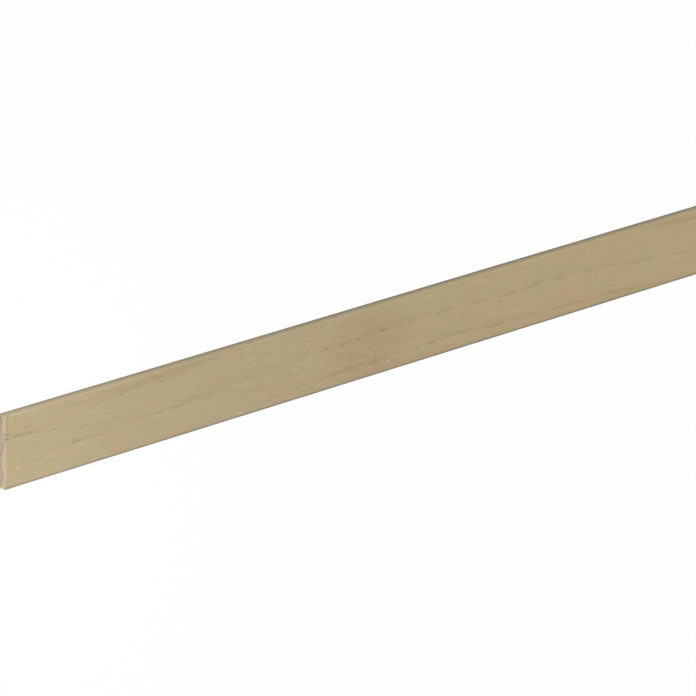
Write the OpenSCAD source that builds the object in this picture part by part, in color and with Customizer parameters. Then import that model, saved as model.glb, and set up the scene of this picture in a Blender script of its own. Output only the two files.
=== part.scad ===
/* [Strip] */
// Length of the strip, as it is sold
strip_length = 1000; // [200:10:2400]
// Width of the two wide faces
strip_width = 40; // [10:1:120]
// Thickness, which is the width of the two narrow faces
strip_thickness = 5; // [3:0.5:20]

/* [Edges] */
// Radius that the planer and a light sanding leave on the four long edges
edge_radius = 0.5; // [0.2:0.1:1]

/* [Hidden] */
// Segments of a full circle, so that the edge arcs are true arcs
$fn = 48;

// One corner of the section: the square corner less the quarter round that stays
module corner_waste() {
    difference() {
        square(edge_radius * 2, center = true);
        translate([-edge_radius, -edge_radius]) circle(r = edge_radius);
    }
}

// The section across the grain: width along X, thickness along Y, standing on Y = 0
module strip_section() {
    difference() {
        translate([-strip_width / 2, 0]) square([strip_width, strip_thickness]);
        for (side = [-1, 1], face = [-1, 1])
            translate([side * strip_width / 2, strip_thickness / 2 + face * strip_thickness / 2])
                mirror([(1 - side) / 2, 0])
                    mirror([0, (1 - face) / 2])
                        corner_waste();
    }
}

// One planed piece with square-cut ends. It lies flat on Z = 0, its grain runs along X,
// and the origin is the middle of its underside.
module wood_strip() {
    color("burlywood")
        translate([-strip_length / 2, 0, 0])
            rotate([90, 0, 90])
                linear_extrude(height = strip_length)
                    strip_section();
}

wood_strip();
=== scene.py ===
"""A strip of planed light hardwood, dressed for a picture.

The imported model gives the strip's place and size. This file adds its worn edges and sawn ends
in mesh code, its wood as shader nodes, and the floor, lamps and camera.
"""

import math

import bpy
import numpy as np
from bpy.props import FloatProperty, FloatVectorProperty, IntProperty, PointerProperty
from mathutils import Euler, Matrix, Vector


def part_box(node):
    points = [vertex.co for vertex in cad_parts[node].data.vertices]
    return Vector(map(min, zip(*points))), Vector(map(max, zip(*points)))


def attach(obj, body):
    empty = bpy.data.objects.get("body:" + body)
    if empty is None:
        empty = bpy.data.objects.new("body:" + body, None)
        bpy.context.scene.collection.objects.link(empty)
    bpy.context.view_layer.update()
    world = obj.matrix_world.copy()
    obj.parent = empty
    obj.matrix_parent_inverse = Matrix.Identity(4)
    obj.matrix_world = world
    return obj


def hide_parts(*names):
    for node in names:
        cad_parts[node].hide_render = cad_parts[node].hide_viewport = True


bl_info = {
    "name": "Wood Strip",
    "version": (1, 0, 0),
    "blender": (4, 5, 0),
    "location": "3D View > Sidebar > Wood Strip",
    "description": "Makes a planed hardwood strip and the stage it is pictured on",
    "category": "Object",
}

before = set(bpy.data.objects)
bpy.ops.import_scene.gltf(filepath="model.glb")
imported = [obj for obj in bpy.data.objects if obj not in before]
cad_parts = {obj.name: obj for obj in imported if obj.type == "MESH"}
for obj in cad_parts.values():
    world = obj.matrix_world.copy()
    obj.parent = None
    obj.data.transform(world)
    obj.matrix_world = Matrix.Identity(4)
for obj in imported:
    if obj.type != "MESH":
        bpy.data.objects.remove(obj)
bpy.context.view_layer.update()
LOW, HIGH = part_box("wood_strip")

MM = 0.001
PICTURE_PIXELS = 696
SENSOR_WIDTH = 36.0
CLIP_NEAR, CLIP_FAR = 0.05, 50.0

# The curves below run from one end of the strip to the other, or across an end, in mm, and
# reach so far up and down
HALF_RUN, HALF_SPAN = 500, 20
PATH_REACH, SPACING_REACH, SHOW_REACH, BAND_REACH = 20.0, 40.0, 1.5, 10.0

# The middle growth ring's edge on the upper face: along the strip and across it, in mm. Up to
# 3 mm past the middle it follows the line that shows, and the rest goes on in the same way.
RING_PATH = [
    (-500, -6.6), (-454, -5.9), (-421, -4.3), (-391, -3.4), (-364, -1.8), (-308, 1.6),
    (-268, 3.9), (-240, 4.4), (-198, 4.8), (-150, 3.4), (-129, 3.0), (-118, 5.0), (-104, 2.6),
    (-75, 1.4), (-38, -1.2), (3, -4.0), (60, -7.4), (150, -11.0), (250, -13.4), (350, -12.0),
    (440, -8.0), (500, -6.0),
]
# How far above it the next ring's edge runs, in mm
UPPER_SPACING = [(-500, 14.5), (-478, 13.6), (-452, 15.2), (-425, 17.2), (-413, 18.6),
                 (-364, 20.0), (0, 19.3), (500, 17.0)]
# How clearly each ring's edge shows along the strip: the upper one, this one and the lower one
UPPER_SHOWS = [(-500, 1.0), (-480, 0.9), (-466, 0.35), (-440, 0.15), (-424, 0.5), (-400, 0.4),
               (-360, 0.6), (-330, 0.45), (-60, 0.3), (-35, 0.5), (10, 0.5), (80, 0.5),
               (160, 0.8), (260, 0.3), (350, 0.8), (430, 0.4), (500, 0.8)]
MIDDLE_SHOWS = [(-500, 0.08), (-465, 0.12), (-452, 0.5), (-432, 0.35), (-408, 0.25),
                (-390, 0.45), (-366, 0.5), (-345, 0.15), (-318, 0.3), (-288, 0.3), (-262, 0.6),
                (-238, 0.9), (-218, 0.4), (-190, 0.6), (-128, 0.9), (-102, 0.8), (-72, 0.3),
                (-52, 0.3), (-36, 0.6), (-18, 0.2), (4, 0.6), (90, 0.4), (180, 0.8),
                (300, 0.3), (400, 0.8), (500, 0.5)]
LOWER_SHOWS = [(-500, 0.0), (-310, 0.05), (-286, 0.9), (-246, 1.2), (-222, 0.5), (-200, 1.0),
               (-160, 1.1), (-142, 0.8), (-112, 1.0), (-84, 0.5), (-62, 1.0), (-44, 0.4),
               (60, 0.7), (160, 0.3), (280, 0.9), (400, 0.4), (500, 0.7)]
# How crowded the ray flecks are along the strip
FLECKS_SHOW = [(-500, 0.55), (-400, 0.5), (-330, 0.4), (-250, 0.3), (-180, 0.18), (20, 0.2),
               (150, 0.6), (260, 0.35), (400, 0.7), (500, 0.6)]


def shade(red, green, blue):
    """A colour as a paint chart gives it, from 0 to 255, in the values that Blender mixes."""
    def one(part):
        part = part / 255
        return part / 12.92 if part <= 0.04045 else ((part + 0.055) / 1.055) ** 2.4
    return (one(red), one(green), one(blue))


def length_setting(name, description, default):
    """A length that can be changed in the sidebar."""
    return FloatProperty(name=name, description=description, default=default, unit="LENGTH",
                         precision=6)


def colour_setting(name, description, default):
    """A colour that can be changed in the sidebar."""
    return FloatVectorProperty(name=name, description=description, default=default,
                               subtype="COLOR", size=3, min=0, max=1)


class StripSizes(bpy.types.PropertyGroup):
    """Sizes of the strip's edges and ends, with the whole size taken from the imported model."""

    length: length_setting("Length", "Length along the grain", HIGH.x - LOW.x)
    width: length_setting("Width", "Width of the two wide faces", HIGH.y - LOW.y)
    thickness: length_setting("Thickness", "Width of the two narrow faces", HIGH.z - LOW.z)
    edge_radius: length_setting(
        "Edge radius", "Mean radius of the four eased long edges", 0.5 * MM)
    edge_change: length_setting(
        "Edge change", "How far the hand-sanded radius strays from its mean", 0.12 * MM)
    saw_depth: length_setting(
        "Saw mark depth", "Depth of the marks that the saw left on the ends", 0.05 * MM)
    end_break: length_setting(
        "End edge break", "How far the edges round the sawn ends are broken", 0.12 * MM)
    seed: IntProperty(
        name="Seed", description="Chooses where the sanding and the saw marks fall", default=7)


class WoodLook(bpy.types.PropertyGroup):
    """Colours and measures of the wood."""

    wood: colour_setting("Wood", "Main colour of the planed wood", shade(170, 153, 119))
    late: colour_setting(
        "Late wood", "Darker wood before each growth ring's edge", shade(150, 130, 95))
    ring_line: colour_setting(
        "Ring edge", "Thin brown line at each growth ring's edge", shade(124, 98, 68))
    fleck: colour_setting("Ray fleck", "Short brown dashes of the rays", shade(114, 90, 56))
    # Pale specks of the wood, and the colour of the painted highlights beside the flecks and on
    # the edges
    speck_and_highlight: colour_setting("Pale speck", "Pale rims beside the flecks", shade(214, 198, 162))
    # Painted shade: the grey brown laid on the lower edges and the upper -y edge, where shade
    # falls
    painted_edge_shade: colour_setting("Soiled edge", "Grey brown of the shadowed edges", shade(99, 95, 79))
    pink: colour_setting("Pink tone", "Warmer patches", shade(176, 148, 118))
    amber: colour_setting("Amber tone", "Yellower patches", shade(170, 148, 103))
    olive: colour_setting("Olive tone", "Greener patches", shade(165, 153, 113))
    sawn: colour_setting("Sawn end", "Main colour of the sawn ends", shade(189, 171, 149))
    sawn_pale: colour_setting(
        "Pale end", "Paler early wood on the sawn ends", shade(208, 189, 158))
    ring_tilt: FloatProperty(
        name="Ring tilt", description="Angle between the growth rings and the wide faces",
        default=math.radians(20.5), subtype="ANGLE")
    lower_spacing: FloatProperty(
        name="Ring spacing", description="Distance between ring edges on the wide faces, in mm",
        default=16.3, min=2.0)
    grain_slope: FloatProperty(
        name="Grain slope", description="Angle between the fibres and the long edges",
        default=math.radians(7.0), subtype="ANGLE")


class StageLook(bpy.types.PropertyGroup):
    """The floor, the lamps and the camera."""

    floor: colour_setting("Floor", "Colour of the floor", (0.88, 0.88, 0.87))
    shadow_share: FloatProperty(
        name="Shadow share", description="Share of the floor's own light that the camera sees",
        default=0.07, min=0, max=1, subtype="FACTOR")
    fill: FloatProperty(
        name="Room light", description="Strength of the light from all round", default=0.45)
    top_power: FloatProperty(
        name="Top lamp", description="Power of the wide lamp above", default=27.5, unit="POWER")
    end_power: FloatProperty(
        name="End lamp", description="Power of the lamp beyond the near end",
        default=29.0, unit="POWER")
    camera_place: FloatVectorProperty(
        name="Camera place", description="Where the camera stands",
        subtype="TRANSLATION", size=3, default=(-1.89447, 0.91256, 1.71588))
    camera_turn: FloatVectorProperty(
        name="Camera turn", description="How the camera is turned", subtype="EULER", size=3,
        default=tuple(math.radians(a) for a in (-22.791, -42.865, 2.4446)))
    focal_pixels: FloatProperty(
        name="Focal length", description="Focal length, in pixels of the picture",
        default=4766.2)


FLOAT, VECTOR = "NodeSocketFloat", "NodeSocketVector"


class Graph:
    """A node tree that is being filled, with one call for each kind of node."""

    def __init__(self, tree):
        self.tree = tree
        self.tree.nodes.clear()
        self.count = 0

    def put(self, kind, **settings):
        """A new node of that kind, placed beside the last one."""
        node = self.tree.nodes.new(kind)
        node.location = (180 * (self.count % 12), -260 * (self.count // 12))
        self.count += 1
        for name, value in settings.items():
            setattr(node, name, value)
        return node

    def feed(self, socket, value):
        """Links an output to the socket, or writes a plain value on it."""
        if isinstance(value, bpy.types.NodeSocket):
            self.tree.links.new(value, socket)
        else:
            socket.default_value = value

    def fed(self, kind, values, **settings):
        """The outputs of a new node whose inputs are fed in order."""
        node = self.put(kind, **settings)
        for socket, value in zip(node.inputs, values):
            self.feed(socket, value)
        return node.outputs

    def math(self, operation, *values):
        """One Math node."""
        return self.fed("ShaderNodeMath", values, operation=operation)[0]

    def add(self, *values):
        """The sum of two or more values."""
        total = values[0]
        for value in values[1:]:
            total = self.math("ADD", total, value)
        return total

    def times(self, *values):
        """The product of two or more values."""
        total = values[0]
        for value in values[1:]:
            total = self.math("MULTIPLY", total, value)
        return total

    def minus(self, a, b):
        """a less b."""
        return self.math("SUBTRACT", a, b)

    def ramp(self, value, start, end, low=0.0, high=1.0):
        """A smooth step from low to high while the value goes from start to end."""
        return self.fed("ShaderNodeMapRange", (value, start, end, low, high),
                        interpolation_type="SMOOTHSTEP", clamp=False)[0]

    def line(self, value, start, end, low=0.0, high=1.0):
        """A straight change from low to high while the value goes from start to end."""
        return self.fed("ShaderNodeMapRange", (value, start, end, low, high),
                        interpolation_type="LINEAR", clamp=True)[0]

    def split(self, vector):
        """The three parts of a vector."""
        return tuple(self.fed("ShaderNodeSeparateXYZ", (vector,)))

    def join(self, x, y, z):
        """A vector made of three values."""
        return self.fed("ShaderNodeCombineXYZ", (x, y, z))[0]

    def stretched(self, parts, scales):
        """A vector made of three values, the first ones each times its own scale."""
        scaled = [self.times(part, scale) for part, scale in zip(parts, scales)]
        return self.join(*scaled, *parts[len(scales):])

    def noise(self, vector, scale=1.0, detail=2.0, roughness=0.5):
        """Smooth noise round 0.5."""
        node = self.put("ShaderNodeTexNoise", noise_dimensions="3D")
        self.feed(node.inputs["Vector"], vector)
        for name, value in (("Scale", scale), ("Detail", detail), ("Roughness", roughness)):
            node.inputs[name].default_value = value
        return node.outputs[0]

    def curve(self, value, knots, half, reach):
        """A smooth curve through knots, read at a value from -half to half."""
        node = self.put("ShaderNodeFloatCurve")
        points = node.mapping.curves[0].points
        scaled = [((x + half) / (2 * half), 0.5 + y / (2 * reach)) for x, y in knots]
        while len(points) < len(scaled):
            points.new(0.5, 0.5)
        for point, place in zip(points, scaled):
            point.location = place
        node.mapping.update()
        at = self.math("DIVIDE", self.minus(value, -half), 2 * half)
        self.feed(node.inputs["Value"], at)
        return self.times(self.minus(node.outputs[0], 0.5), 2 * reach)

    def mix(self, factor, a, b, blend="MIX"):
        """Colour a turning into colour b."""
        node = self.put("ShaderNodeMix", data_type="RGBA", blend_type=blend, clamp_factor=True)
        self.feed(node.inputs["Factor"], factor)
        for name, value in (("A", a), ("B", b)):
            socket = next(s for s in node.inputs if s.name == name and s.type == "RGBA")
            if not isinstance(value, bpy.types.NodeSocket):
                value = (*value, 1.0)
            self.feed(socket, value)
        return next(s for s in node.outputs if s.type == "RGBA")

    def tint(self, colour, *steps):
        """The colour after a row of tints, each an amount and a colour."""
        for amount, other in steps:
            colour = self.mix(amount, colour, other)
        return colour

    def lighten(self, colour, lightness):
        """The colour times a lightness."""
        return self.mix(1.0, colour, self.join(lightness, lightness, lightness), "MULTIPLY")

    def group(self, tree, **values):
        """The outputs of a node that holds a node group, with its inputs fed by name."""
        node = self.put("ShaderNodeGroup", node_tree=tree)
        for label, value in values.items():
            self.feed(node.inputs[label.replace("_", " ")], value)
        return node.outputs

    def socket(self, label, way, kind, start=None):
        """Adds an input or an output to this node group."""
        made = self.tree.interface.new_socket(
            label.replace("_", " "), in_out=way, socket_type=kind)
        if start is not None:
            made.default_value = start

    def give(self, **results):
        """Gives this node group its outputs by name, and returns the group."""
        for label, value in results.items():
            self.socket(label, "OUTPUT", VECTOR if value.type == "VECTOR" else FLOAT)
        self.fed("NodeGroupOutput", results.values())
        return self.tree


def new_group(name, **inputs):
    """The graph and the inputs of a new node group. An input that starts without a value holds
    a vector."""
    graph = Graph(bpy.data.node_groups.new(name, "ShaderNodeTree"))
    for label, start in inputs.items():
        graph.socket(label, "INPUT", VECTOR if start is None else FLOAT, start)
    return graph, graph.put("NodeGroupInput").outputs


def grain_directions():
    """Turns a place on the strip into millimetres along the fibres, along the rays and so on."""
    g, given = new_group("Grain directions", Position=None, Thickness=5.0, Ring_Tilt=0.2,
                         Grain_Slope=0.1)
    scaled = g.put("ShaderNodeVectorMath", operation="SCALE")
    g.feed(scaled.inputs[0], given["Position"])
    scaled.inputs["Scale"].default_value = 1 / MM
    x, y, z = g.split(scaled.outputs[0])
    depth = g.minus(given["Thickness"], z)
    cos_slope, sin_slope = (g.math(turn, given["Grain Slope"]) for turn in ("COSINE", "SINE"))
    cos_tilt, sin_tilt = (g.math(turn, given["Ring Tilt"]) for turn in ("COSINE", "SINE"))
    run_per_depth = g.math("DIVIDE", 1.0, g.math("TANGENT", given["Ring Tilt"]))
    along = g.minus(g.times(x, cos_slope), g.times(y, sin_slope))
    across = g.add(g.times(x, sin_slope), g.times(y, cos_slope))
    side = g.minus(g.times(across, cos_tilt), g.times(depth, sin_tilt))
    deep = g.add(g.times(across, sin_tilt), g.times(depth, cos_tilt))
    return g.give(Along=x, Across=y, Up=z, Face_Run=g.add(y, g.times(depth, run_per_depth)),
                  Fibre_Along=along, Ray_Side=side, Fibre_Vector=g.join(along, side, deep))


# How the ring edges wander: waves per mm along the fibres, along the rays and through them,
# and the swing in mm
SLOW_WANDER, SLOW_SWING = (0.03, 0.11, 0.11), 1.2
QUICK_WANDER, QUICK_SWING = (0.22, 1.1, 1.1), 1.4
# The late wood above a ring's edge: how fast each part of it fades per mm, and its share
LATE_FADES = [(-0.26, 0.5), (-0.7, 0.6)]
LEAST_LATE = 0.45
# Where the edges break off: waves per mm along and across, and the noise it happens between,
# for the line and for the late wood
BREAK_WAVES, BREAKS, LATE_BREAKS = (0.09, 0.25), (0.38, 0.62), (0.3, 0.7)
# How far above and below an edge the flecks crowd, in mm
NEAR_ABOVE, NEAR_BELOW = (0.2, 2.3), (0.0, 1.3)


def growth_rings():
    """The edges of the growth rings and the darker late wood above each of them."""
    g, given = new_group("Growth rings", Along=0.0, Face_Run=0.0, Fibre_Vector=None,
                         Lower_Spacing=16.0, Line_Width=1.5)
    along, line_width = given["Along"], given["Line Width"]
    path = g.curve(along, RING_PATH, HALF_RUN, PATH_REACH)
    upper = g.curve(along, UPPER_SPACING, HALF_RUN, SPACING_REACH)
    fibre = g.split(given["Fibre Vector"])
    slow = g.minus(g.noise(g.stretched(fibre, SLOW_WANDER)), 0.5)
    quick = g.minus(g.noise(g.stretched(fibre, QUICK_WANDER)), 0.5)
    wander = g.add(g.times(slow, SLOW_SWING), g.times(quick, QUICK_SWING))
    run = g.add(g.minus(given["Face Run"], path), wander)
    above = g.math("GREATER_THAN", run, 0.0)
    spacing = g.add(g.times(above, upper),
                    g.times(g.minus(1.0, above), given["Lower Spacing"]))
    ring = g.math("DIVIDE", run, spacing)
    inside = g.math("FRACT", ring)
    number = g.math("FLOOR", ring)
    away = g.times(inside, spacing)
    below = g.times(g.minus(1.0, inside), spacing)
    late = g.add(*(g.times(g.math("EXPONENT", g.times(away, fade)), share)
                   for fade, share in LATE_FADES))
    broken = g.noise(g.stretched((fibre[0], fibre[1], number), BREAK_WAVES), detail=3.0,
                     roughness=0.65)
    nearest = g.math("FLOOR", g.add(ring, 0.5))
    shows = g.add(*(
        g.times(chosen, g.curve(along, knots, HALF_RUN, SHOW_REACH))
        for chosen, knots in ((g.math("GREATER_THAN", nearest, 0.5), UPPER_SHOWS),
                              (g.math("COMPARE", nearest, 0.0, 0.5), MIDDLE_SHOWS),
                              (g.math("LESS_THAN", nearest, -0.5), LOWER_SHOWS))))
    strength = g.times(g.ramp(broken, *BREAKS), shows)
    line = g.math("MAXIMUM", g.ramp(away, 0.0, line_width, 1.0, 0.0),
                  g.ramp(below, 0.0, g.times(line_width, 0.5), 1.0, 0.0))
    nearness = g.math("MAXIMUM", g.ramp(away, *NEAR_ABOVE, 1.0, 0.0),
                      g.ramp(below, *NEAR_BELOW, 1.0, 0.0))
    late = g.times(late, g.ramp(broken, *LATE_BREAKS, LEAST_LATE, 1.0),
                   g.add(LEAST_LATE, g.times(shows, 1 - LEAST_LATE)))
    return g.give(Late_Wood=late, Line=g.times(line, strength),
                  Nearness=g.times(nearness, strength))


# A fleck's half length and half width, as shares of the given sizes, and its least weight
LENGTH_SHARES, WIDTH_SHARES, LEAST_WEIGHT = (0.25, 0.75), (0.35, 0.65), 0.45
# How a fleck bends: waves per cell along and across, the layer of noise, and the bend in mm
BEND_WAVES, BEND_LAYER, BEND = (3.0, 1.0), 4.0, 0.35
# How far beside a fleck its rim of painted highlight lies, in half widths
RIM_HIGHLIGHT_SHIFT = -1.7


def ray_flecks():
    """Short dashes along the fibres, each with a rim of painted highlight on one side."""
    g, given = new_group("Ray flecks", Fibre_Along=0.0, Ray_Side=0.0, Cell_Length=7.0,
                         Cell_Width=2.4, Fleck_Length=3.6, Fleck_Width=0.4, Share=0.3,
                         Shift=0.0)
    u = g.add(g.math("DIVIDE", given["Fibre Along"], given["Cell Length"]), given["Shift"])
    v = g.math("DIVIDE", given["Ray Side"], given["Cell Width"])
    cells = g.put("ShaderNodeTexVoronoi", voronoi_dimensions="2D", feature="F1")
    for name, value in (("Scale", 1.0), ("Randomness", 1.0), ("Vector", g.join(u, v, 0.0))):
        g.feed(cells.inputs[name], value)
    centre_u, centre_v, _ = g.split(cells.outputs["Position"])
    red, green, blue = g.split(cells.outputs["Color"])
    du = g.times(g.minus(u, centre_u), given["Cell Length"])
    dv = g.times(g.minus(v, centre_v), given["Cell Width"])
    half_length = g.times(given["Fleck Length"], g.line(green, 0.0, 1.0, *LENGTH_SHARES))
    half_width = g.times(given["Fleck Width"], g.line(blue, 0.0, 1.0, *WIDTH_SHARES))
    here = g.math("LESS_THAN", red, given["Share"])
    weight = g.times(here, g.line(blue, 0.0, 1.0, LEAST_WEIGHT, 1.0))
    curl = g.noise(g.stretched((u, v, BEND_LAYER), BEND_WAVES))
    bend = g.times(g.minus(curl, 0.5), BEND)
    ratio_u = g.math("DIVIDE", du, half_length)
    square_u = g.times(ratio_u, ratio_u)

    def ellipse(offset):
        ratio_v = g.math("DIVIDE", g.add(dv, bend, offset), half_width)
        distance = g.add(square_u, g.times(ratio_v, ratio_v))
        return g.ramp(distance, 0.25, 1.0, 1.0, 0.0)

    fleck = g.times(ellipse(0.0), weight)
    # A rim of painted highlight on one side of the fleck
    rim_highlight = g.times(ellipse(g.times(half_width, RIM_HIGHLIGHT_SHIFT)), weight, g.ramp(green, 0.45, 0.7))
    return g.give(Fleck=fleck, Rim=g.times(rim_highlight, g.minus(1.0, fleck)))


# The streaks' waves per mm along the fibres, along the rays and through them, and how much the
# fine ones count beside the wide ones
WIDE_STREAKS, FINE_STREAKS, FINE_SHARE = (0.035, 0.9, 0.9), (0.12, 5.0, 5.0), 0.8


def fibre_streaks():
    """Fine long streaks of the fibres, and their height."""
    g, given = new_group("Fibre streaks", Fibre_Vector=None)
    fibre = g.split(given["Fibre Vector"])
    wide = g.noise(g.stretched(fibre, WIDE_STREAKS), detail=3.0, roughness=0.6)
    fine = g.noise(g.stretched(fibre, FINE_STREAKS), detail=3.0, roughness=0.65)
    streak = g.add(g.minus(wide, 0.5), g.times(g.minus(fine, 0.5), FINE_SHARE))
    return g.give(Streak=streak, Height=fine)


# The clouds' waves per mm along the fibres and along the rays, and how far apart two of them
# are read so that they differ
TONE_WAVES, LIGHT_WAVES, WARM_WAVES = (0.05, 0.16, 0.16), (0.02, 0.09), (0.06, 0.22)
LIGHT_SHIFT, WARM_SHIFT = 40.0, 90.0


def tone_clouds():
    """Slow changes of colour, from pink to olive, and slow changes of lightness."""
    g, given = new_group("Tone clouds", Fibre_Vector=None)
    along, side, deep = g.split(given["Fibre Vector"])

    def cloud(waves, shift, roughness):
        return g.noise(g.stretched((along, side, g.add(deep, shift)), waves),
                       roughness=roughness)

    tone = g.noise(g.stretched((along, side, deep), TONE_WAVES), detail=2.5, roughness=0.55)
    warm = cloud(WARM_WAVES, WARM_SHIFT, 0.55)
    return g.give(Pink=g.ramp(tone, 0.50, 0.74), Olive=g.ramp(tone, 0.50, 0.26),
                  Amber=g.ramp(warm, 0.48, 0.72),
                  Lightness=g.minus(cloud(LIGHT_WAVES, LIGHT_SHIFT, 0.5), 0.5))


def soft_mark():
    """One soft oval mark at a given place on a face."""
    g, given = new_group("Soft mark", Along=0.0, Across=0.0, Centre_Along=0.0,
                         Centre_Across=0.0, Half_Length=2.0, Half_Width=0.5, Turn=0.0)
    dx = g.minus(given["Along"], given["Centre Along"])
    dy = g.add(g.minus(given["Across"], given["Centre Across"]), g.times(dx, given["Turn"]))
    ratio_x = g.math("DIVIDE", dx, given["Half Length"])
    ratio_y = g.math("DIVIDE", dy, given["Half Width"])
    distance = g.add(g.times(ratio_x, ratio_x), g.times(ratio_y, ratio_y))
    return g.give(Mark=g.ramp(distance, 0.05, 1.0, 1.0, 0.0))


# The painted edge shade's patches per metre along and across, the noise they change over and
# the least share of the shade in them
SHADE_PATCH_WAVES, SHADE_PATCH_NOISE, LEAST_SHADE = (60.0, 9.0), (0.25, 0.62), 0.70
# Where the painted edge shade and the painted highlight along the narrow faces change along the
# strip, in metres, and their shares at both places
SHADE_RUN, SHADE_SHARES = (-0.5, -0.15), (0.68, 1.0)
SIDE_HIGHLIGHT_RUN, SIDE_HIGHLIGHT_SHARES = (-0.45, -0.10), (1.0, 0.25)
# How far in from the sides the painted highlight along the narrow faces fades out
SIDE_HIGHLIGHT_DEPTHS = (0.1 * MM, 0.5 * MM)


def edge_shade_and_highlight():
    """Painted edge light: shade on the lower edges and the upper -y edge, highlights on the
    upper
    +y edge and the narrow faces; 0 on the flats and 1 on the edge itself.
    """
    g, given = new_group("Edge rub", Position=None, Half_Width=0.02, Thickness=0.005,
                         Upper_Reach=2.0 * MM, Lower_Reach=3.6 * MM, Down_Reach=1.2 * MM)
    x, y, z = g.split(given["Position"])
    from_side = g.minus(given["Half Width"], g.math("ABSOLUTE", y))
    from_top = g.minus(given["Thickness"], z)

    def near(distance, reach):
        return g.ramp(distance, 0.0, given[reach], 1.0, 0.0)

    beside = near(from_side, "Upper Reach")
    left = g.math("GREATER_THAN", y, 0.0)
    # Painted highlight on the upper edge of the +y side
    top_highlight = g.times(beside, near(from_top, "Upper Reach"), left)
    # Painted shade on the lower edges, where the strip meets the floor, and on the upper -y edge
    lower = g.times(beside, near(z, "Lower Reach"))
    right = g.times(beside, near(from_top, "Down Reach"), g.minus(1.0, left))
    patchy = g.noise(g.stretched((x, y, 0.0), SHADE_PATCH_WAVES), detail=3.0, roughness=0.6)
    patchy = g.times(g.ramp(patchy, *SHADE_PATCH_NOISE, LEAST_SHADE, 1.0),
                     g.line(x, *SHADE_RUN, *SHADE_SHARES))
    # Painted highlight on the narrow faces and the edges beside them, strongest at the near end
    side_highlight = g.times(g.ramp(from_side, *SIDE_HIGHLIGHT_DEPTHS, 1.0, 0.0),
                     g.line(x, *SIDE_HIGHLIGHT_RUN, *SIDE_HIGHLIGHT_SHARES))
    return g.give(Soiled=g.times(g.math("MAXIMUM", lower, right), patchy), Fresh=top_highlight,
                  Side=side_highlight)


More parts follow.
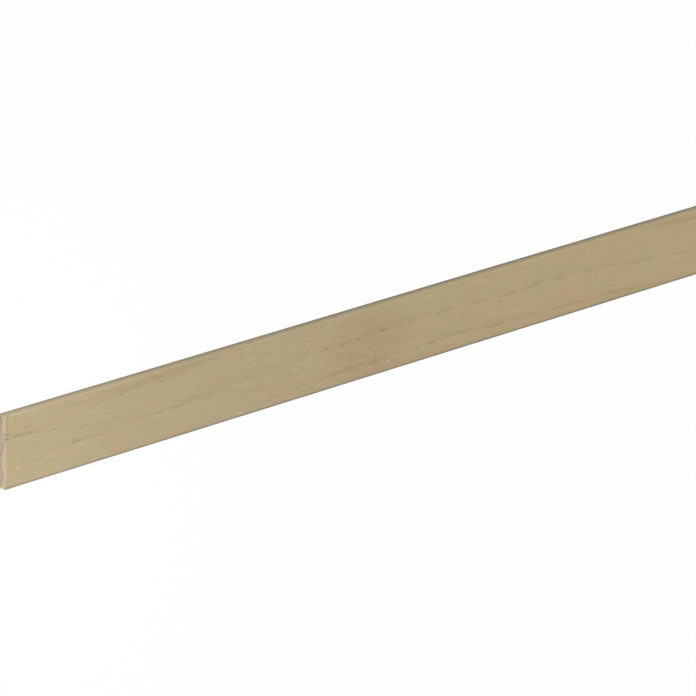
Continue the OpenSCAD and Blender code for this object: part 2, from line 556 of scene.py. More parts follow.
# Marks that show on the upper face: along and across in mm, half length, half width, turn,
# and strength. They lie along the ring edges, where the rays crowd.
FACE_MARKS = [
    # across the near end: two brown dashes, a nick and a faint dark line
    (-498.8, 9.6, 1.6, 0.6, 0, 1.7), (-498.8, 7.2, 1.6, 0.6, 0, 1.7),
    (-498.7, 18.9, 0.9, 1.1, 0, 1.8), (-499.1, 14, 1, 7, 0, 0.55),
    (-498.5, 2.5, 0.8, 9, 0, 0.3),
    # the upper ring's edge
    (-493, 8.8, 8, 0.6, 0.18, 0.7), (-483, 8.2, 6, 0.5, 0, 0.45),
    (-454, 14.9, 1.3, 0.7, 0.2, 0.7), (-438, 12, 4, 0.6, 0.05, 0.6),
    (-424, 13.3, 4, 0.6, -0.05, 0.65), (-414.5, 14.7, 3, 0.6, -0.1, 0.35),
    (-373, 18, 1.8, 0.6, 0, 1), (-361, 17.2, 7, 0.6, 0.15, 0.6),
    (-344, 18.2, 2, 0.55, 0.15, 1.2), (-17, 16.5, 23, 2, 0.095, 0.25),
    # the middle ring's edge
    (-455, -5.4, 1.7, 0.6, 0, 1.3), (-447.5, -5.8, 2.2, 0.5, 0.1, 0.15),
    (-437.5, -5.4, 3.6, 0.6, 0.12, 0.5), (-412.5, -3.6, 3.2, 0.8, 0, 0.35),
    (-388, -3.1, 6, 0.6, 0.06, 0.45), (-364.5, -1.6, 3.6, 0.6, 0, 0.85),
    (-336, 1, 5, 1.2, 0.1, 0.2), (-298, 5, 4.2, 0.65, 0.05, 0.45),
    (-282, 3.5, 1.8, 0.8, 0.15, 1.1), (-268, 3.2, 6, 0.7, 0, 0.6), (-259, 3.7, 1.7, 1, 0, 1.3),
    (-240.5, 4.8, 3.4, 0.85, -0.15, 1.5), (-220, 5.1, 2.4, 0.8, 0.2, 0.7),
    (-200, 4.4, 1.8, 0.7, 0, 1.2), (-193, 4.9, 4, 0.6, 0.05, 0.55), (-141, 3.6, 3, 0.7, 0, 0.1),
    (-131, 4.4, 3, 1.2, 0.3, 0.35), (-122, 5.2, 3.6, 1.2, 0.3, 0.15),
    (-108, 3.4, 4.6, 1, 0.22, 0.5), (-72.5, 3.6, 1.8, 0.6, 0.2, 0.9),
    (-40, -0.7, 7, 1.2, 0.08, 0.1), (-6, -3.4, 8, 0.8, 0.14, 0.35),
    # the lower ring's edge
    (-278, -12.2, 5, 1, 0, 0.25), (-262, -13.2, 6, 0.7, 0, 0.9), (-247, -12.8, 6, 0.75, 0, 1.2),
    (-214, -12.6, 0.9, 0.6, 0, 1.5), (-204, -11.4, 4.5, 0.7, 0, 1.1),
    (-173, -10.4, 6, 0.6, 0.25, 0.6), (-157, -12.4, 9, 0.7, 0.05, 0.25),
    (-140, -12.9, 6, 0.6, 0.08, 0.6), (-124, -13.9, 4, 0.6, 0, 0.8),
    (-108, -14, 6, 0.7, 0.06, 0.85), (-88, -14.6, 6, 0.8, 0.05, 0.6),
    (-63, -14.9, 6, 0.8, 0.1, 0.5), (-51, -15.9, 6, 1.1, 0.12, 0.45),
    # single flecks
    (-493.8, 16.9, 1.8, 0.5, 0.15, 0.65), (-483.7, 12.3, 1.8, 0.5, 0.15, 0.75),
    (-469, 5.4, 1.3, 0.6, 0.1, 0.8), (-481.4, 0.8, 1.6, 0.5, 0.2, 0.5),
    (-485.6, -3.7, 2.2, 0.5, 0.1, 0.75), (-489.4, -7.5, 1.2, 0.6, 0.1, 1),
    (-476.3, -7.8, 1.2, 0.5, 0.1, 1), (-472, -14.9, 1.6, 0.5, 0.2, 0.65),
    (-468, -11.3, 0.7, 0.5, 0, 1), (-451, -9.8, 2, 0.5, 0.1, 0.5), (-451, 1.1, 0.8, 0.6, 0, 1),
    (-443, 9.7, 2.4, 0.6, 0.1, 0.4), (-429, 2.6, 2, 0.5, 0.3, 0.35),
    (-409, -7.8, 1.6, 0.5, 0.2, 0.5), (-397, -11.2, 1.6, 0.5, 0.2, 0.8),
    (-367, 5, 4.6, 0.5, 0.2, 0.5), (-353.5, 4.4, 2, 0.5, 0.15, 0.55),
    (-353, -5.8, 3.2, 0.6, 0.25, 0.4), (-332, -6.6, 1.6, 0.6, 0.15, 0.8),
    (-321, 10, 3, 0.6, 0.2, 0.25), (-316, 4.6, 1.4, 0.5, 0.15, 0.6),
    (-302, -6.4, 1.5, 0.5, 0.15, 0.7), (-302, -11.2, 1.6, 0.5, 0.2, 0.75),
    (-302, -13.6, 1.8, 0.6, 0.2, 0.8), (-317, -14, 2.4, 0.8, 0, 0.7),
    (-335.5, -15.2, 3, 1, 0.1, 0.2), (-292, -16.2, 3, 0.5, 0.25, 0.8),
    (-285.5, -0.6, 1.7, 0.5, 0.2, 0.4), (-271, 14.2, 2, 0.6, 0.2, 0.9),
    (-265, -4, 3.4, 0.6, 0, 0.9), (-250.5, -3.9, 1.7, 0.55, 0.15, 1.3),
    (-246.5, -9.8, 2.2, 0.65, 0.1, 1.1), (-241, -15, 0.9, 0.6, 0, 0.7),
    (-236, 0, 2.2, 0.6, 0.2, 1.2), (-229, -3.8, 3.4, 0.5, 0.25, 0.45),
    (-232, 6.7, 1.6, 0.6, 0.1, 0.75), (-172, 10.3, 1.5, 0.5, 0.2, 1.3),
    (-164, 17.9, 1.6, 0.5, 0.1, 0.8), (-180, -1, 1.8, 0.6, 0.15, 0.4),
    (-88, 13.9, 2, 0.6, 0.2, 0.5), (-57, 14.4, 0.9, 1, 0, 1),
]
# Pale spots, where a ray lies flat in the face, and the light line along the near end
PALE_MARKS = [
    (-499.8, -7, 0.7, 13, 0, 0.6), (-493.5, 5.9, 3.4, 0.5, -0.25, 0.3),
    (-474.5, 7.6, 1.8, 0.5, 0.1, 0.45), (-471.8, 6.1, 1.3, 0.5, 0.1, 0.7),
    (-471.5, -8.6, 1.5, 0.55, 0.1, 0.65), (-468, -10, 0.7, 0.6, 0, 0.9),
    (-481.3, -9.8, 1.5, 0.6, 0.1, 0.7), (-491.5, -10.2, 1.6, 0.8, 0.2, 0.45),
    (-450.8, -0.6, 0.8, 0.7, 0, 0.45), (-449.5, -7.3, 3, 0.6, 0.1, 0.25),
    (-436, 11.2, 1.6, 0.5, 0.1, 0.5), (-421, 12.4, 1.6, 0.5, 0.1, 0.5),
    (-401, 12.3, 2, 0.5, 0.2, 0.3), (-393, -4.2, 1.6, 0.5, 0.15, 0.5),
    (-381.5, -5.1, 1.8, 0.6, 0.1, 0.35), (-364, -2.9, 1.3, 0.5, 0, 0.4),
    (-347, 9.8, 1.3, 0.8, 0, 0.45), (-333.5, -5.3, 1.6, 0.5, 0.15, 0.45),
    (-316.5, 5.4, 1.6, 0.5, 0.15, 0.75), (-302, -12.4, 1.4, 0.5, 0.15, 0.6),
    (-317, -16.3, 2, 0.6, 0, 0.5), (-342, -17.8, 2.6, 0.5, 0.15, 0.85),
    (-297.5, -0.5, 2.2, 0.5, 0.15, 0.55), (-297, 10.8, 1, 0.6, 0, 0.45),
    (-285.5, -2, 2.2, 0.6, 0.2, 0.2), (-251.5, -5.2, 2.6, 0.6, 0.82, 0.35),
    (-248, -8.3, 1.6, 0.5, 0.2, 0.7), (-249, -14.9, 0.8, 0.6, 0, 1.2),
    (-236.3, -14.4, 1.1, 0.6, 0, 1.4), (-211.3, -13.6, 0.9, 0.6, 0, 0.95),
    (-234.5, -1.2, 1.4, 0.5, 0, 0.3), (-63.5, -0.7, 2.2, 0.55, 0.2, 0.65),
    (-39, -2.9, 4, 0.5, 0.12, 0.45), (-13, -5, 4.2, 0.6, 0.1, 0.3),
]
# Wide soft zones, in the same order of values: pinker, greener, darker, and yellower
PINK_ZONES = [
    (-492, 11, 7, 6, 0, 0.5), (-497, -8, 4, 6, 0, 0.5), (-464, 10.5, 9, 3, -0.1, 0.55),
    (-441, 17.5, 7, 2, 0, 0.55), (-428, 8.5, 10, 4, 0, 0.45), (-388, 8.5, 9, 4, 0, 0.4),
    (-382, -17, 9, 2.5, 0, 0.6), (-345, -16, 12, 3, 0, 0.45), (-322, -16, 14, 4, 0, 0.6),
    (-300, -11, 9, 4, 0, 0.5), (-252, -2, 42, 18, 0, 0.75), (-240, -16, 26, 6, 0, 1.2),
    (-174, 4, 14, 1.8, 0.05, 0.8), (-110, -12, 110, 14, 0, 0.45), (-10, -9, 20, 9, 0, 0.55),
    (-10, 15.5, 18, 4, 0.12, 0.55),
]
GREEN_ZONES = [
    (-484, 14, 11, 5, 0, 0.75), (-486, -14, 11, 6, 0, 0.35), (-448, 0, 42, 10, 0, 0.65),
    (-408, 8, 10, 5, 0, 0.65), (-387, -10.5, 12, 5, 0, 0.8), (-350, -3, 40, 14, 0, 0.4),
    (-52, -15.4, 10, 2.2, 0.1, 0.8),
]
DARK_ZONES = [
    (-472, 14.5, 34, 5, 0, 0.33), (-430, 15.5, 20, 3.5, -0.05, 0.35),
    (-392, 16.6, 30, 4, -0.05, 0.6), (-250, 2, 40, 24, 0, 0.78), (-248, -17, 28, 8, 0, 0.9),
    (-120, -19, 150, 7, 0, 0.45), (-30, 18, 30, 5, 0.15, 0.25),
]
AMBER_ZONES = [
    (80, 0, 460, 90, 0, 0.7), (-400, 17, 45, 4, -0.03, 0.8), (-387, 16.3, 10, 2.6, 0, 1.3),
    (-278, -13.5, 14, 5, 0, 0.8), (-205, -17, 45, 4, 0, 0.7), (-110, -17, 40, 3.5, 0, 0.7),
    (-56, -16.5, 24, 4, 0, 1.3), (-12, 15.5, 30, 4.5, 0.12, 1.2),
]
# The lower edge of the pale wood on the near end: across and up, in mm
END_BAND = [(-20.0, 2.0), (-18.1, 2.3), (-16.0, 2.9), (-13.8, 4.1), (-11.7, 4.6), (-9.5, 2.9),
            (-7.4, 2.2), (-5.2, 2.6), (-3.0, 2.8), (-0.9, 3.3), (1.3, 3.9), (4.0, 4.3),
            (6.5, 4.3), (9.5, 3.7), (11.6, 2.9), (18.6, 2.7), (20.0, 2.7)]
# Brown marks there, up the end and across it: the two ends of the ring edge and the wood
# between them, and two ring edges that run down through the thickness
END_MARKS = [(4.8, 9.6, 1.5, 0.5, 0, 1), (4.8, 7.2, 1.5, 0.5, 0, 1),
             (4.6, 8.4, 1.6, 3, 0, 0.15), (1.9, -2.9, 1.9, 1.5, -3.8, 0.6),
             (2.2, -16.3, 1.7, 1.1, -1.8, 0.45)]
# Browner late wood at the upper left corner of the near end, in the same order
END_LATE = [(0.6, 17, 2.2, 6, 0, 1)]


def marks_at(g, mark_group, along, across, marks):
    """The strongest of a list of soft marks, at a place given in mm."""
    strongest = None
    for centre_along, centre_across, half_length, half_width, turn, strength in marks:
        mark = g.group(mark_group, Along=along, Across=across, Centre_Along=centre_along,
                       Centre_Across=centre_across, Half_Length=half_length,
                       Half_Width=half_width, Turn=turn)["Mark"]
        mark = g.times(mark, strength)
        strongest = mark if strongest is None else g.math("MAXIMUM", strongest, mark)
    return strongest


def start_material(name, look, size, groups, line_width):
    """A new material, with the place on the strip, its grain and its rings."""
    material = bpy.data.materials.new(name)
    material.use_nodes = True
    g = Graph(material.node_tree)
    place = g.put("ShaderNodeTexCoord").outputs["Object"]
    ways = g.group(groups["grain"], Position=place, Thickness=size.thickness / MM,
                   Ring_Tilt=look.ring_tilt, Grain_Slope=look.grain_slope)
    rings = g.group(groups["rings"], Along=ways["Along"], Face_Run=ways["Face Run"],
                    Fibre_Vector=ways["Fibre Vector"], Lower_Spacing=look.lower_spacing,
                    Line_Width=line_width)
    return material, g, place, ways, rings


def finish_surface(g, colour, rough, height, strength, distance):
    """The surface of a material, from its colour, roughness and bump height."""
    surface = g.put("ShaderNodeBsdfPrincipled")
    g.feed(surface.inputs["Base Color"], colour)
    g.feed(surface.inputs["Roughness"], rough)
    bump = g.put("ShaderNodeBump")
    for name, value in (("Strength", strength), ("Distance", distance), ("Height", height)):
        g.feed(bump.inputs[name], value)
    g.feed(surface.inputs["Normal"], bump.outputs[0])
    output = g.put("ShaderNodeOutputMaterial")
    g.feed(output.inputs["Surface"], surface.outputs[0])


# How wide the ring edge's line is on the planed faces and on the sawn ends, in mm
PLANED_LINE, SAWN_LINE = 1.5, 1.6
# The kinds of ray flecks: the cells they are strewn in and their full sizes, in mm, the share
# of cells that hold one, and a shift that makes each kind fall in places of its own
BIG_FLECKS = dict(Cell_Length=9.0, Cell_Width=3.2, Fleck_Length=7.0, Fleck_Width=1.4)
MIDDLING_FLECKS = dict(Cell_Length=6.0, Cell_Width=2.1, Fleck_Length=4.6, Fleck_Width=1.0,
                       Shift=13.0)
SMALL_FLECKS = dict(Cell_Length=3.0, Cell_Width=0.8, Fleck_Length=2.2, Fleck_Width=0.34,
                    Share=0.4, Shift=31.0)
RING_STROKES = dict(Cell_Length=8.0, Cell_Width=1.6, Fleck_Length=9.0, Fleck_Width=1.5,
                    Share=0.7, Shift=77.0)
END_RAYS = dict(Cell_Length=12.0, Cell_Width=0.8, Fleck_Length=14.0, Fleck_Width=0.25,
                Share=0.8)
# The share of cells that hold a big or middling fleck where the flecks crowd most, and how they
# crowd: waves per mm along and across, the layer of noise, the noise it happens between, and
# the least share of it
CROWDED_SHARE = 0.6
CROWD_WAVES, CROWD_LAYER, CROWD_NOISE, LEAST_CROWD = (0.035, 0.12), 8.0, (0.36, 0.64), 0.3
# How patchy the brown marks are, in the same order
PATCH_WAVES, PATCH_LAYER, PATCH_NOISE, LEAST_PATCH = (0.25, 1.3), 3.0, (0.30, 0.60), 0.5
# How much of its colour each kind of fleck lends: everywhere, more along the ring edges, and
# in its rim of painted highlight
SMALL_AMOUNTS, MIDDLING_AMOUNTS = (0.05, 0.12, 0.04), (0.16, 0.16, 0.15)
BIG_AMOUNTS = (0.18, 0.16, 0.10)
# How much of its colour each cloud, zone and part of a ring lends
PINK_CLOUD, OLIVE_CLOUD, AMBER_CLOUD = 0.65, 0.80, 0.35
PINK_ZONE, GREEN_ZONE, AMBER_ZONE, DARK_ZONE = 0.60, 0.55, 0.60, 0.40
LATE_TINT, LINE_TINT, STROKE_TINT, MARK_TINT, PALE_TINT = 0.42, 0.12, 0.34, 0.42, 0.45
# How much the painted highlights along the narrow faces and on the upper +y edge lend
SIDE_HIGHLIGHT_TINT, TOP_HIGHLIGHT_TINT = 0.24, 0.12
STREAK_LIGHT, CLOUD_LIGHT = 0.08, 0.15
# Roughness, and strength and depth of the bump
PLANED_ROUGH, PLANED_BUMP = 0.58, (0.35, 0.06 * MM)
SAWN_ROUGH, SAWN_BUMP = 0.74, (0.5, 0.08 * MM)


def planed_wood(look, size, groups):
    """The material of the planed faces."""
    material, g, place, ways, rings = start_material(
        "Planed hardwood", look, size, groups, PLANED_LINE)
    x_mm, y_mm = ways["Along"], ways["Across"]
    fibre_along, ray_side = ways["Fibre Along"], ways["Ray Side"]

    def flecks(kind, **more):
        return g.group(groups["flecks"], Fibre_Along=fibre_along, Ray_Side=ray_side, **kind,
                       **more)

    crowd = g.noise(g.stretched((fibre_along, ray_side, CROWD_LAYER), CROWD_WAVES))
    crowd = g.times(g.ramp(crowd, *CROWD_NOISE, LEAST_CROWD, 1.0),
                    g.curve(x_mm, FLECKS_SHOW, HALF_RUN, SHOW_REACH))
    share = g.times(crowd, CROWDED_SHARE)
    big = flecks(BIG_FLECKS, Share=share)
    middling = flecks(MIDDLING_FLECKS, Share=share)
    small = flecks(SMALL_FLECKS)
    strokes = flecks(RING_STROKES)
    streaks = g.group(groups["fibres"], Fibre_Vector=ways["Fibre Vector"])
    clouds = g.group(groups["clouds"], Fibre_Vector=ways["Fibre Vector"])
    shading = g.group(groups["shading"], Position=place, Half_Width=size.width / 2,
                  Thickness=size.thickness)
    on_top = g.math("GREATER_THAN", ways["Up"], size.thickness / 2 / MM)

    def marked(marks, amount):
        return g.times(marks_at(g, groups["mark"], x_mm, y_mm, marks), on_top, amount)

    grainy = g.noise(g.stretched((fibre_along, ray_side, PATCH_LAYER), PATCH_WAVES))
    near_ring = rings["Nearness"]
    colour = g.tint(
        look.wood[:],
        (g.add(g.times(clouds["Pink"], PINK_CLOUD), marked(PINK_ZONES, PINK_ZONE)),
         look.pink[:]),
        (g.add(g.times(clouds["Olive"], OLIVE_CLOUD), marked(GREEN_ZONES, GREEN_ZONE)),
         look.olive[:]),
        (g.add(g.times(clouds["Amber"], AMBER_CLOUD), marked(AMBER_ZONES, AMBER_ZONE)),
         look.amber[:]),
        (marked(DARK_ZONES, DARK_ZONE), look.late[:]),
        (g.times(rings["Late Wood"], LATE_TINT), look.late[:]),
        (g.times(rings["Line"], LINE_TINT), look.ring_line[:]),
        (g.times(strokes["Fleck"], near_ring, STROKE_TINT), look.fleck[:]))
    # Each kind of fleck, then its rim of painted highlight
    for kind, (everywhere, ringed, pale) in ((small, SMALL_AMOUNTS),
                                             (middling, MIDDLING_AMOUNTS), (big, BIG_AMOUNTS)):
        amount = g.times(kind["Fleck"], g.add(everywhere, g.times(near_ring, ringed)))
        colour = g.tint(colour, (amount, look.fleck[:]),
                        (g.times(kind["Rim"], pale), look.speck_and_highlight[:]))
    brown = g.times(marked(FACE_MARKS, MARK_TINT),
                    g.ramp(grainy, *PATCH_NOISE, LEAST_PATCH, 1.0))
    colour = g.tint(colour, (brown, look.fleck[:]),
                    (marked(PALE_MARKS, PALE_TINT), look.speck_and_highlight[:]))
    colour = g.lighten(colour, g.add(1.0, g.times(streaks["Streak"], STREAK_LIGHT),
                                     g.times(clouds["Lightness"], CLOUD_LIGHT)))
    # Painted highlights on the narrow faces and upper +y edge; painted shade on lower and upper
    # -y edges
    colour = g.tint(colour, (g.times(shading["Side"], SIDE_HIGHLIGHT_TINT), look.speck_and_highlight[:]),
                    (shading["Soiled"], look.painted_edge_shade[:]),
                    (g.times(shading["Fresh"], TOP_HIGHLIGHT_TINT), look.speck_and_highlight[:]))
    rough = g.add(PLANED_ROUGH, g.times(streaks["Streak"], 0.10),
                  g.times(big["Fleck"], -0.10))
    height = g.add(g.times(streaks["Height"], 0.35), g.times(big["Fleck"], -0.35),
                   g.times(small["Fleck"], -0.15), g.times(rings["Line"], -0.15))
    finish_surface(g, colour, rough, height, *PLANED_BUMP)
    return material


# Waves of the pores and of the saw's cuts per metre, and how far down and up from the pale
# wood's edge it blends into the rest, in mm
PORE_WAVES, CUT_WAVES, PALE_BLEND = 9000.0, (900.0, 60.0), (-1.1, 0.9)
# How much of its colour each part of the end lends, and how much pores and cuts lighten it
END_LATE_TINT, END_LINE_TINT, CORNER_TINT, END_MARK_TINT, RAY_TINT = 0.35, 0.30, 0.30, 0.45, 0.25
PORE_LIGHT, CUT_LIGHT = 0.35, 0.2


def sawn_wood(look, size, groups):
    """The material of the two sawn ends."""
    material, g, place, ways, rings = start_material(
        "Sawn end grain", look, size, groups, SAWN_LINE)
    y_mm, z_mm = ways["Across"], ways["Up"]
    rays = g.group(groups["flecks"], Fibre_Along=ways["Fibre Along"],
                   Ray_Side=ways["Ray Side"], **END_RAYS)
    x, y, z = g.split(place)
    pores = g.noise(place, scale=PORE_WAVES)
    cuts = g.noise(g.stretched((y, z, x), CUT_WAVES))
    pore_light = g.minus(pores, 0.5)
    band = g.minus(z_mm, g.curve(y_mm, END_BAND, HALF_SPAN, BAND_REACH))

    def marked(marks, amount):
        return g.times(marks_at(g, groups["mark"], z_mm, y_mm, marks), amount)

    colour = g.tint(
        look.sawn[:],
        (g.ramp(band, *PALE_BLEND), look.sawn_pale[:]),
        (g.times(rings["Late Wood"], END_LATE_TINT), look.late[:]),
        (g.times(rings["Line"], END_LINE_TINT), look.ring_line[:]),
        (marked(END_LATE, CORNER_TINT), look.late[:]),
        (marked(END_MARKS, END_MARK_TINT), look.fleck[:]),
        (g.times(rays["Fleck"], RAY_TINT), look.speck_and_highlight[:]))
    colour = g.lighten(colour, g.add(1.0, g.times(pore_light, PORE_LIGHT),
                                     g.times(g.minus(cuts, 0.5), CUT_LIGHT)))
    finish_surface(g, colour, g.add(SAWN_ROUGH, g.times(pore_light, 0.2)),
                   g.add(pores, g.times(cuts, 1.5)), *SAWN_BUMP)
    return material


# A wander is the sum of this many waves, and this is about the most that they add up to
WANDER_WAVES, WANDER_PEAK = 4, 2.1


def smooth_wander(places, wave, seed):
    """A smooth random wave between -1 and 1 along a row of places."""
    source = np.random.default_rng(seed)
    total = np.zeros_like(places)
    for turn in range(1, WANDER_WAVES + 1):
        swept = places * (2 * math.pi * turn / wave)
        total += np.sin(swept + source.uniform(0, 2 * math.pi)) / turn
    return total / WANDER_PEAK


# How many steps the section's grid has round a corner and along the two kinds of flat
CORNER_STEPS, WIDE_STEPS, NARROW_STEPS = 3, 28, 5
# The rings of points stand so far apart. Two stand closer to each sawn end, at these shares of
# the end edge's break, and the outermost is drawn in by the last share of it.
STATION_STEP, BREAK_PLACES, BREAK_DRAW = 2.5 * MM, (0.35, 1.6), 0.5
# How the edge radius changes: the length of each wave in metres, its share and its seed's shift
RADIUS_WAVES = [(0.31, 0.7, 0), (0.043, 0.3, 10)]
# The saw marks: their pitch, how far they bend from side to side, and their seed's shift
SAW_PITCH, SAW_BEND, SAW_SEED = 1.9 * MM, 3, 99
# The map for baking: the strip's skin lies in two bands, one for each half of the length, and
# the ends lie above them
BAND_HEIGHT, END_HEIGHT, MAP_GAP = 0.470, 0.036, 0.008


def section_places(flat_steps):
    """The grid's places across the section or up it: each one's side of the middle, its place on
    the flat from -1 to 1, and how far round the corner it lies."""
    steps = [k / CORNER_STEPS for k in range(1, CORNER_STEPS + 1)]
    flat = [(-1 if t < 0 else 1, t, 0.0) for t in np.linspace(-1, 1, flat_steps + 1)]
    return [(-1, -1, t) for t in reversed(steps)] + flat + [(1, 1, t) for t in steps]


def section_grid(half_width, half_thick, radii):
    """Every point of the section, as arrays of across and up, for four corner radii."""
    wide, narrow = section_places(WIDE_STEPS), section_places(NARROW_STEPS)
    across = np.zeros((len(wide), len(narrow)))
    up = np.zeros_like(across)
    for i, (side_a, flat_a, turn_a) in enumerate(wide):
        for j, (side_b, flat_b, turn_b) in enumerate(narrow):
            radius = radii[(side_a > 0) + 2 * (side_b > 0)]
            round_a = turn_a * math.sqrt(1 - turn_b * turn_b / 2)
            round_b = turn_b * math.sqrt(1 - turn_a * turn_a / 2)
            across[i, j] = flat_a * (half_width - radius) + radius * round_a * side_a
            up[i, j] = flat_b * (half_thick - radius) + radius * round_b * side_b
    return across, up


def rim_order(rows, columns):
    """The outer points of the grid in order, from the low corner on the left-hand side."""
    order = [(rows - 1, j) for j in range(columns)]
    order += [(i, columns - 1) for i in range(rows - 2, -1, -1)]
    order += [(0, j) for j in range(columns - 2, -1, -1)]
    order += [(i, 0) for i in range(1, rows - 1)]
    return order


def station_places(size):
    """Where along the strip the rings of points stand."""
    half = size.length / 2
    count = round(size.length / STATION_STEP)
    close = [half - size.end_break * share for share in BREAK_PLACES]
    inner = np.linspace(-half + STATION_STEP, half - STATION_STEP, count - 1)
    return np.array([-x for x in close] + list(inner) + close[::-1])


def corner_radii(size, stations):
    """The radii of the four long edges, one row for each edge."""
    return np.array([
        size.edge_radius + size.edge_change
        * sum(share * smooth_wander(stations, wave, size.seed + shift + corner)
              for wave, share, shift in RADIUS_WAVES)
        for corner in range(4)])


def walked_shares(grid, rim_highlight):
    """How far round the section each outer point lies, from 0 to 1 at the first one again."""
    across, up = grid
    ring = [Vector((across[place], up[place])) for place in rim_highlight]
    walked = [0.0]
    for a, b in zip(ring, ring[1:] + ring[:1]):
        walked.append(walked[-1] + (b - a).length)
    return [w / walked[-1] for w in walked]


def skin_faces(stations, around):
    """The faces between the rings of points, and the places of their corners on the map."""
    faces, places = [], []
    ring_size = len(around) - 1
    middle = len(stations) // 2
    for k in range(len(stations) - 1):
        band = 0 if k < middle else 1
        low, high = (stations[0], stations[middle]) if band == 0 else (
            stations[middle], stations[-1])
        u0, u1 = ((s - low) / (high - low) * (1 - 2 * MAP_GAP) + MAP_GAP
                  for s in stations[k:k + 2])
        base = MAP_GAP + band * (BAND_HEIGHT + MAP_GAP)
        for j in range(ring_size):
            a, b = k * ring_size + j, k * ring_size + (j + 1) % ring_size
            faces.append((a, b, b + ring_size, a + ring_size))
            v0, v1 = base + around[j] * BAND_HEIGHT, base + around[j + 1] * BAND_HEIGHT
            places.append([(u0, v0), (u0, v1), (u1, v1), (u1, v0)])
    return faces, places


def strip_mesh(size):
    """The strip as one closed mesh, with its map for baking."""
    half_length, half_width, half_thick = size.length / 2, size.width / 2, size.thickness / 2
    stations = station_places(size)
    drawn_in = np.zeros(len(stations))
    drawn_in[[0, -1]] = size.end_break * BREAK_DRAW
    grids = [section_grid(half_width - drawn, half_thick - drawn, radii)
             for drawn, radii in zip(drawn_in, corner_radii(size, stations).T)]
    rows, columns = grids[0][0].shape
    rim_highlight = rim_order(rows, columns)
    points = [(x, across[place], up[place] + half_thick)
              for x, (across, up) in zip(stations, grids) for place in rim_highlight]
    faces, places = skin_faces(stations, walked_shares(grids[len(grids) // 2], rim_highlight))
    kinds = [0] * len(faces)

    source = np.random.default_rng(size.seed + SAW_SEED)
    for side, k in ((-1, 0), (1, len(stations) - 1)):
        across, up = grids[k]
        index = {place: k * len(rim_highlight) + at for at, place in enumerate(rim_highlight)}
        for place in np.ndindex(rows, columns):
            if place in index:
                continue
            y, z = across[place], up[place]
            bend = SAW_BEND * math.sin(z / MM)
            mark = 0.5 + 0.5 * math.sin(y * 2 * math.pi / SAW_PITCH + bend)
            inward = size.saw_depth * (0.5 * mark + 0.5 * source.uniform())
            index[place] = len(points)
            points.append((side * (half_length - inward), y, z + half_thick))
        left = MAP_GAP if side < 0 else 0.5 + MAP_GAP / 2
        base = 3 * MAP_GAP + 2 * BAND_HEIGHT
        for i, j in np.ndindex(rows - 1, columns - 1):
            cells = [(i, j), (i + 1, j), (i + 1, j + 1), (i, j + 1)][::side]
            faces.append(tuple(index[place] for place in cells))
            places.append([(left + (across[place] / half_width + 1) / 2 * (0.5 - 1.5 * MAP_GAP),
                            base + (up[place] / half_thick + 1) / 2 * END_HEIGHT)
                           for place in cells])
            kinds.append(1)

    mesh = bpy.data.meshes.new("wood_strip_dressed")
    mesh.from_pydata(points, [], faces)
    mesh.polygons.foreach_set("material_index", kinds)
    mesh.polygons.foreach_set("use_smooth", [True] * len(faces))
    layer = mesh.uv_layers.new(name="OFBake")
    layer.data.foreach_set("uv", [part for face in places for place in face for part in place])
    mesh.update()
    return mesh


def mark_end_edges(mesh):
    """Makes the edges between the ends and the planed faces sharp."""
    kinds = {}
    for polygon in mesh.polygons:
        for key in polygon.edge_keys:
            kinds.setdefault(key, set()).add(polygon.material_index)
    sharp = mesh.attributes.new("sharp_edge", "BOOLEAN", "EDGE")
    sharp.data.foreach_set("value", [len(kinds[edge.key]) > 1 for edge in mesh.edges])


class WOODSTRIP_OT_cut_strip(bpy.types.Operator):
    """Make the strip, with its eased edges, sawn ends and wood"""

    bl_idname = "wood_strip.cut_strip"
    bl_label = "Cut the strip"

    def execute(self, context):
        size, look = context.scene.strip_sizes, context.scene.strip_wood
        mesh = strip_mesh(size)
        mark_end_edges(mesh)
        strip = bpy.data.objects.new("wood_strip_dressed", mesh)
        context.scene.collection.objects.link(strip)
        groups = {
            "grain": grain_directions(),
            "rings": growth_rings(),
            "flecks": ray_flecks(),
            "fibres": fibre_streaks(),
            "clouds": tone_clouds(),
            "mark": soft_mark(),
            "shading": edge_shade_and_highlight(),
        }
        mesh.materials.append(planed_wood(look, size, groups))
        mesh.materials.append(sawn_wood(look, size, groups))
        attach(strip, "root")
        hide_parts("wood_strip")
        if mesh.validate():
            raise RuntimeError("the strip's mesh had faults")
        return {"FINISHED"}


# The floor's half width, and how far below the strip it lies so that the two never share a place
FLOOR_HALF, FLOOR_DROP = 6.0, 0.02 * MM
# Where each lamp hangs, the place it points at, and how wide it is
TOP_PLACE, TOP_AIM, TOP_WIDTH = (-0.2, 0.0, 2.0), (-0.2, 0.0, 0.0), 2.0
END_PLACE, END_AIM, END_WIDTH = (-1.25, 0.70, 0.95), (-0.54, 0.0, 0.0), 0.08
# Radius of the end lamp's beam where it lands
END_BEAM = 0.15
WHITE = (1, 1, 1, 1)


def seen(graph):
    """1 for what the camera, gloss and glass see, and 0 for the rest."""
    rays = graph.put("ShaderNodeLightPath").outputs
    return graph.math("MAXIMUM", rays["Is Camera Ray"],
                      graph.math("MAXIMUM", rays["Is Glossy Ray"], rays["Is Transmission Ray"]))


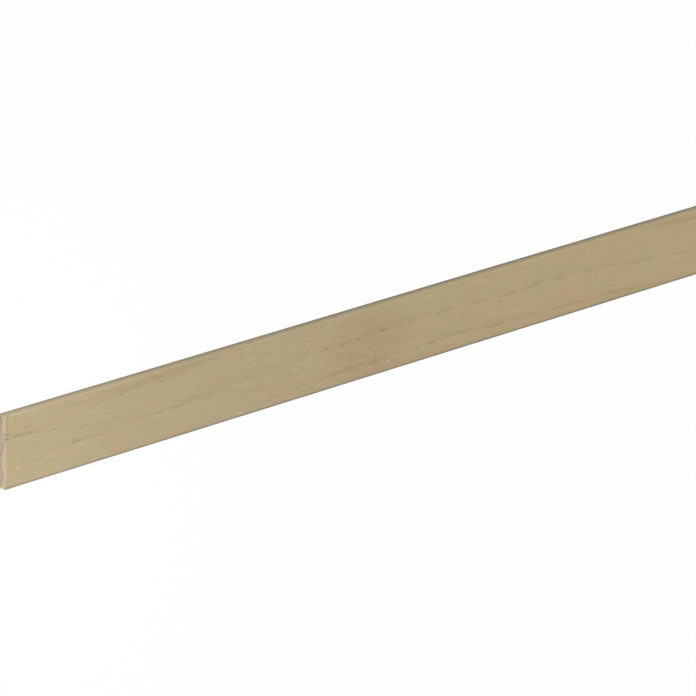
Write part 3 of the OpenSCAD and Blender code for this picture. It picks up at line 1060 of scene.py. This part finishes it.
def make_floor(stage):
    """The pale floor. The camera sees it as white, with a light shadow."""
    half = FLOOR_HALF
    mesh = bpy.data.meshes.new("floor")
    mesh.from_pydata([(-half, -half, 0), (half, -half, 0), (half, half, 0), (-half, half, 0)],
                     [], [(0, 1, 2, 3)])
    floor = bpy.data.objects.new("floor", mesh)
    floor.location.z = -FLOOR_DROP
    bpy.context.scene.collection.objects.link(floor)
    material = bpy.data.materials.new("Pale floor")
    material.use_nodes = True
    g = Graph(material.node_tree)
    matt = g.put("ShaderNodeBsdfDiffuse")
    matt.inputs["Color"].default_value = (*stage.floor, 1)
    white = g.put("ShaderNodeEmission")
    white.inputs["Color"].default_value = WHITE
    mixed = g.fed("ShaderNodeMixShader", (g.times(seen(g), 1 - stage.shadow_share),
                                          matt.outputs[0], white.outputs[0]))
    g.fed("ShaderNodeOutputMaterial", mixed)
    mesh.materials.append(material)


def make_world(stage):
    """Even light from all round, seen as white."""
    world = bpy.data.worlds.new("Studio")
    bpy.context.scene.world = world
    world.use_nodes = True
    g = Graph(world.node_tree)
    strength = g.add(stage.fill, g.times(seen(g), 1 - stage.fill))
    g.fed("ShaderNodeOutputWorld", g.fed("ShaderNodeBackground", (WHITE, strength)))


def hang_lamp(name, kind, place, aim, power):
    """A lamp of that kind that points at a place."""
    data = bpy.data.lights.new(name, kind)
    data.energy = power
    lamp = bpy.data.objects.new(name, data)
    lamp.location = place
    lamp.rotation_euler = (Vector(aim) - Vector(place)).to_track_quat("-Z", "Y").to_euler()
    bpy.context.scene.collection.objects.link(lamp)
    return data


def make_lamps(stage):
    """A wide soft lamp above, and one whose round soft beam falls on the near end."""
    top = hang_lamp("Top lamp", "AREA", TOP_PLACE, TOP_AIM, stage.top_power)
    top.shape = "SQUARE"
    top.size = TOP_WIDTH
    end = hang_lamp("End lamp", "SPOT", END_PLACE, END_AIM, stage.end_power)
    end.spot_size = 2 * math.atan(END_BEAM / (Vector(END_AIM) - Vector(END_PLACE)).length)
    end.spot_blend = 1.0
    end.shadow_soft_size = END_WIDTH


def make_camera(stage):
    """The camera of the picture."""
    data = bpy.data.cameras.new("Picture camera")
    data.sensor_fit = "HORIZONTAL"
    data.sensor_width = SENSOR_WIDTH
    data.lens = stage.focal_pixels * SENSOR_WIDTH / PICTURE_PIXELS
    data.clip_start, data.clip_end = CLIP_NEAR, CLIP_FAR
    camera = bpy.data.objects.new("Picture camera", data)
    camera.location = stage.camera_place
    camera.rotation_euler = Euler(stage.camera_turn)
    bpy.context.scene.collection.objects.link(camera)
    bpy.context.scene.camera = camera


class WOODSTRIP_OT_set_stage(bpy.types.Operator):
    """Make the floor, the lamps, the room light and the camera"""

    bl_idname = "wood_strip.set_stage"
    bl_label = "Set the stage"

    def execute(self, context):
        stage = context.scene.strip_stage
        make_floor(stage)
        make_world(stage)
        make_lamps(stage)
        make_camera(stage)
        context.scene.view_settings.view_transform = "Standard"
        return {"FINISHED"}


class WOODSTRIP_PT_sidebar(bpy.types.Panel):
    """Lists the sizes, colours and steps"""

    bl_idname = "WOODSTRIP_PT_sidebar"
    bl_label = "Wood Strip"
    bl_space_type = "VIEW_3D"
    bl_region_type = "UI"
    bl_category = "Wood Strip"

    def draw(self, context):
        for title, holder in (("Sizes", "strip_sizes"), ("Wood", "strip_wood"),
                              ("Stage", "strip_stage")):
            box = self.layout.box()
            box.label(text=title)
            group = getattr(context.scene, holder)
            for name in group.bl_rna.properties.keys():
                if name not in ("rna_type", "name"):
                    box.prop(group, name)
        self.layout.operator(WOODSTRIP_OT_cut_strip.bl_idname)
        self.layout.operator(WOODSTRIP_OT_set_stage.bl_idname)


CLASSES = (StripSizes, WoodLook, StageLook, WOODSTRIP_OT_cut_strip, WOODSTRIP_OT_set_stage,
           WOODSTRIP_PT_sidebar)


def register():
    """Registers the classes and hangs the settings on the scene."""
    for item in CLASSES:
        bpy.utils.register_class(item)
    bpy.types.Scene.strip_sizes = PointerProperty(type=StripSizes)
    bpy.types.Scene.strip_wood = PointerProperty(type=WoodLook)
    bpy.types.Scene.strip_stage = PointerProperty(type=StageLook)


def unregister():
    """Takes the settings and classes away again."""
    del bpy.types.Scene.strip_sizes
    del bpy.types.Scene.strip_wood
    del bpy.types.Scene.strip_stage
    for item in reversed(CLASSES):
        bpy.utils.unregister_class(item)


def main():
    """Makes everything."""
    register()
    bpy.ops.wood_strip.cut_strip()
    bpy.ops.wood_strip.set_stage()
    bpy.context.view_layer.update()


if __name__ == "__main__":
    main()
